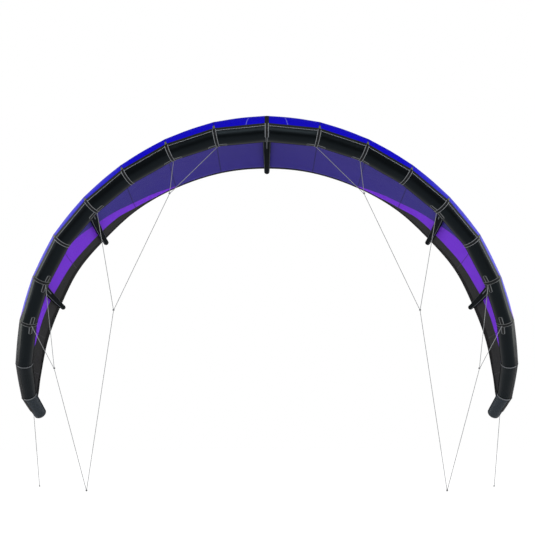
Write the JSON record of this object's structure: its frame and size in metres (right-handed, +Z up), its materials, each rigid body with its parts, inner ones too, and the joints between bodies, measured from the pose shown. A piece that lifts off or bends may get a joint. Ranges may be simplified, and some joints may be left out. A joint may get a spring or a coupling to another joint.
{
  "type": "kitesurfing kite",
  "caption": "Inflated crescent kitesurfing kite with a tubular leading edge, struts, cambered cloth canopy and hanging bridle lines.",
  "frame": {"origin": "centre of the inflated leading edge tube at the middle strut", "axes": "+X along the span toward the right wing tip, +Y from the leading edge back to the trailing edge, +Z up"},
  "size_m": [4.4294, 1.7155, 3.2993],
  "materials": {
    "sleeve_cloth": "matte woven polyester",
    "canopy_indigo": "ripstop cloth",
    "canopy_purple": "ripstop cloth",
    "canopy_charcoal": "ripstop cloth",
    "hem_webbing": "matte webbing",
    "bladder_film": "clear grey film",
    "line": "braided line",
    "hard_plastic": "moulded",
    "soft_plastic": "soft moulded",
    "hose_rubber": "smooth hose"
  },
  "bodies": {
    "kite": {"leading_edge_inner_right": "sleeve_cloth", "leading_edge_middle_right": "sleeve_cloth", "leading_edge_tip_right": "sleeve_cloth", "leading_edge_inner_left": "sleeve_cloth", "leading_edge_middle_left": "sleeve_cloth", "leading_edge_tip_left": "sleeve_cloth", "leading_edge_bladder": "bladder_film", "strut_centre": "sleeve_cloth", "strut_bladder_centre": "bladder_film", "hose_centre": "hose_rubber", "clip_base_centre": "hard_plastic", "strut_inner_right": "sleeve_cloth", "strut_bladder_inner_right": "bladder_film", "hose_inner_right": "hose_rubber", "clip_base_inner_right": "hard_plastic", "strut_inner_left": "sleeve_cloth", "strut_bladder_inner_left": "bladder_film", "hose_inner_left": "hose_rubber", "clip_base_inner_left": "hard_plastic", "strut_outer_right": "sleeve_cloth", "strut_bladder_outer_right": "bladder_film", "hose_outer_right": "hose_rubber", "clip_base_outer_right": "hard_plastic", "strut_outer_left": "sleeve_cloth", "strut_bladder_outer_left": "bladder_film", "hose_outer_left": "hose_rubber", "clip_base_outer_left": "hard_plastic", "canopy_indigo_inner_right": "canopy_indigo", "canopy_indigo_middle_right": "canopy_indigo", "canopy_indigo_outer_right": "canopy_indigo", "canopy_purple_inner_right": "canopy_purple", "canopy_purple_outer_right": "canopy_purple", "canopy_charcoal_inner_right": "canopy_charcoal", "canopy_charcoal_tip_right": "canopy_charcoal", "canopy_indigo_inner_left": "canopy_indigo", "canopy_indigo_middle_left": "canopy_indigo", "canopy_indigo_outer_left": "canopy_indigo", "canopy_purple_inner_left": "canopy_purple", "canopy_purple_outer_left": "canopy_purple", "canopy_charcoal_inner_left": "canopy_charcoal", "canopy_charcoal_tip_left": "canopy_charcoal", "trailing_edge_hem": "hem_webbing", "bridle_inner_right": "line", "bridle_middle_right": "line", "bridle_outer_right": "line", "bridle_inner_left": "line", "bridle_middle_left": "line", "bridle_outer_left": "line", "valve_base": "hard_plastic", "valve_plug": "soft_plastic"},
    "front_line_right": {"front_line_right": "line"},
    "front_line_left": {"front_line_left": "line"},
    "back_line_right": {"back_line_right": "line"},
    "back_line_left": {"back_line_left": "line"},
    "valve_cap": {"valve_cap": "soft_plastic"},
    "clip_jaw_centre": {"clip_jaw_centre": "hard_plastic"},
    "clip_jaw_inner_right": {"clip_jaw_inner_right": "hard_plastic"},
    "clip_jaw_inner_left": {"clip_jaw_inner_left": "hard_plastic"},
    "clip_jaw_outer_right": {"clip_jaw_outer_right": "hard_plastic"},
    "clip_jaw_outer_left": {"clip_jaw_outer_left": "hard_plastic"}
  },
  "joints": [
    {"name": "front_line_swing_right", "type": "hinge", "parent": "kite", "child": "front_line_right", "pos_m": [1.291, 0.193, -1.485], "axis": [0.6939, 0.2699, -0.6676], "range_deg": [-25, 25]},
    {"name": "back_line_swing_right", "type": "hinge", "parent": "kite", "child": "back_line_right", "pos_m": [2.1476, 1.4112, -2.4377], "axis": [1, 0, 0], "range_deg": [-40, 40]},
    {"name": "front_line_swing_left", "type": "hinge", "parent": "kite", "child": "front_line_left", "pos_m": [-1.291, 0.193, -1.485], "axis": [-0.6939, 0.2699, -0.6676], "range_deg": [-25, 25]},
    {"name": "back_line_swing_left", "type": "hinge", "parent": "kite", "child": "back_line_left", "pos_m": [-2.1476, 1.4112, -2.4377], "axis": [1, 0, 0], "range_deg": [-40, 40]},
    {"name": "valve_cap_hinge", "type": "hinge", "parent": "kite", "child": "valve_cap", "pos_m": [-0.11627, 0.09115, -0.04688], "axis": [0.0708, -0.3806, -0.922], "range_deg": [0, 110]},
    {"name": "clip_jaw_hinge_centre", "type": "hinge", "parent": "kite", "child": "clip_jaw_centre", "pos_m": [0.10614, 0.21441, 0.04358], "axis": [0.1429, -0.8345, -0.5321], "range_deg": [0, 60]},
    {"name": "clip_jaw_hinge_inner_right", "type": "hinge", "parent": "kite", "child": "clip_jaw_inner_right", "pos_m": [1.5656, 0.40622, -0.65954], "axis": [-0.3328, -0.9055, -0.2633], "range_deg": [0, 60]},
    {"name": "clip_jaw_hinge_inner_left", "type": "hinge", "parent": "kite", "child": "clip_jaw_inner_left", "pos_m": [-1.5656, 0.40622, -0.65954], "axis": [-0.3328, 0.9055, 0.2633], "range_deg": [0, 60]},
    {"name": "clip_jaw_hinge_outer_right", "type": "hinge", "parent": "kite", "child": "clip_jaw_outer_right", "pos_m": [1.97971, 0.67628, -1.33926], "axis": [-0.1866, -0.969, 0.1619], "range_deg": [0, 60]},
    {"name": "clip_jaw_hinge_outer_left", "type": "hinge", "parent": "kite", "child": "clip_jaw_outer_left", "pos_m": [-1.97971, 0.67628, -1.33926], "axis": [-0.1866, 0.969, -0.1619], "range_deg": [0, 60]}
  ]
}
